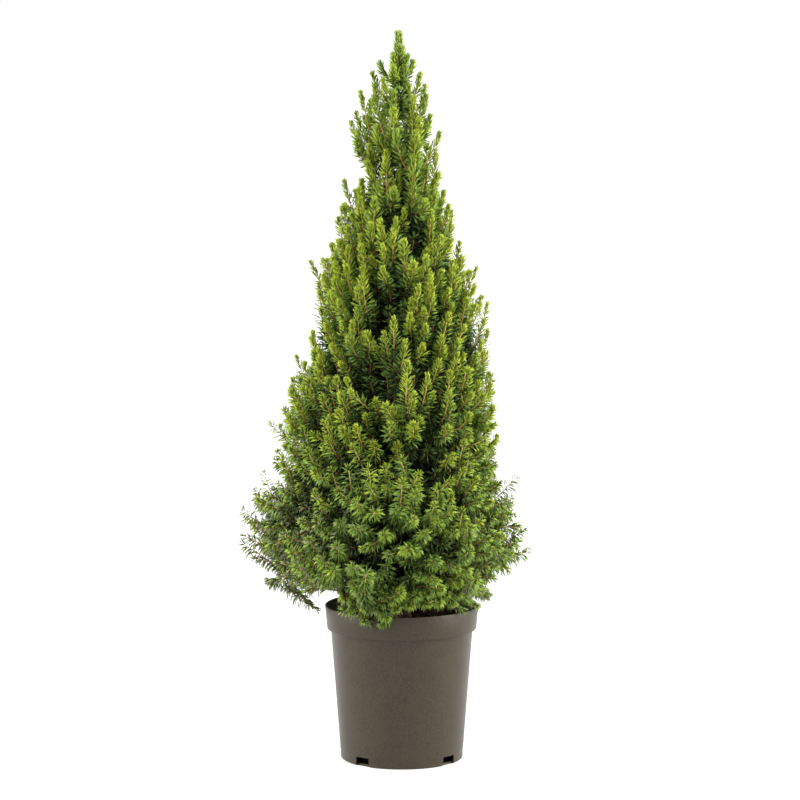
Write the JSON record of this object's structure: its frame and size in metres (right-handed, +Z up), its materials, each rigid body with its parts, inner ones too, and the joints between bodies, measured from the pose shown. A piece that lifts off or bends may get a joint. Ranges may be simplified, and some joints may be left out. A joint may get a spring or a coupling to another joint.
{
  "type": "potted dwarf alberta spruce",
  "caption": "Cone-shaped dwarf conifer with dense short needles, standing in a plain round plastic nursery pot filled with compost.",
  "frame": {"origin": "centre of the pot's flat underside", "axes": "+Z up along the pot's axis, -Y to the front, +X to the plant's right as seen from the front"},
  "size_m": [0.3514, 0.3557, 0.896],
  "materials": {
    "foliage": "soft matt green needles, lime at the shoot tips",
    "bark": "rough reddish-brown bark",
    "pot": "matt dark warm-grey moulded plastic, finely mottled",
    "soil": "dark crumbly bark-based compost"
  },
  "bodies": {
    "root": {"pot": "pot", "soil": "soil", "trunk": "bark", "skirt_bough_1": "bark", "skirt_bough_2": "bark", "skirt_bough_3": "bark", "skirt_bough_4": "bark", "skirt_bough_5": "bark", "skirt_bough_6": "bark", "lower_bough_1": "bark", "lower_bough_2": "bark", "lower_bough_3": "bark", "lower_bough_4": "bark", "lower_bough_5": "bark", "lower_bough_6": "bark", "middle_bough_1": "bark", "middle_bough_2": "bark", "middle_bough_3": "bark", "middle_bough_4": "bark", "middle_bough_5": "bark", "middle_bough_6": "bark", "upper_bough_1": "bark", "upper_bough_2": "bark", "upper_bough_3": "bark", "upper_bough_4": "bark", "skirt_foliage_1": "foliage", "skirt_foliage_2": "foliage", "skirt_foliage_3": "foliage", "skirt_foliage_4": "foliage", "skirt_foliage_5": "foliage", "skirt_foliage_6": "foliage", "lower_foliage_1": "foliage", "lower_foliage_2": "foliage", "lower_foliage_3": "foliage", "lower_foliage_4": "foliage", "lower_foliage_5": "foliage", "lower_foliage_6": "foliage", "middle_foliage_1": "foliage", "middle_foliage_2": "foliage", "middle_foliage_3": "foliage", "middle_foliage_4": "foliage", "middle_foliage_5": "foliage", "middle_foliage_6": "foliage", "upper_foliage_1": "foliage", "upper_foliage_2": "foliage", "upper_foliage_3": "foliage", "upper_foliage_4": "foliage", "shoulder_foliage_1": "foliage", "shoulder_foliage_2": "foliage", "shoulder_foliage_3": "foliage", "shoulder_foliage_4": "foliage", "neck_foliage_1": "foliage", "neck_foliage_2": "foliage", "neck_foliage_3": "foliage", "top_foliage_1": "foliage", "top_foliage_2": "foliage", "top_foliage_3": "foliage", "leader_foliage": "foliage"}
  },
  "joints": []
}
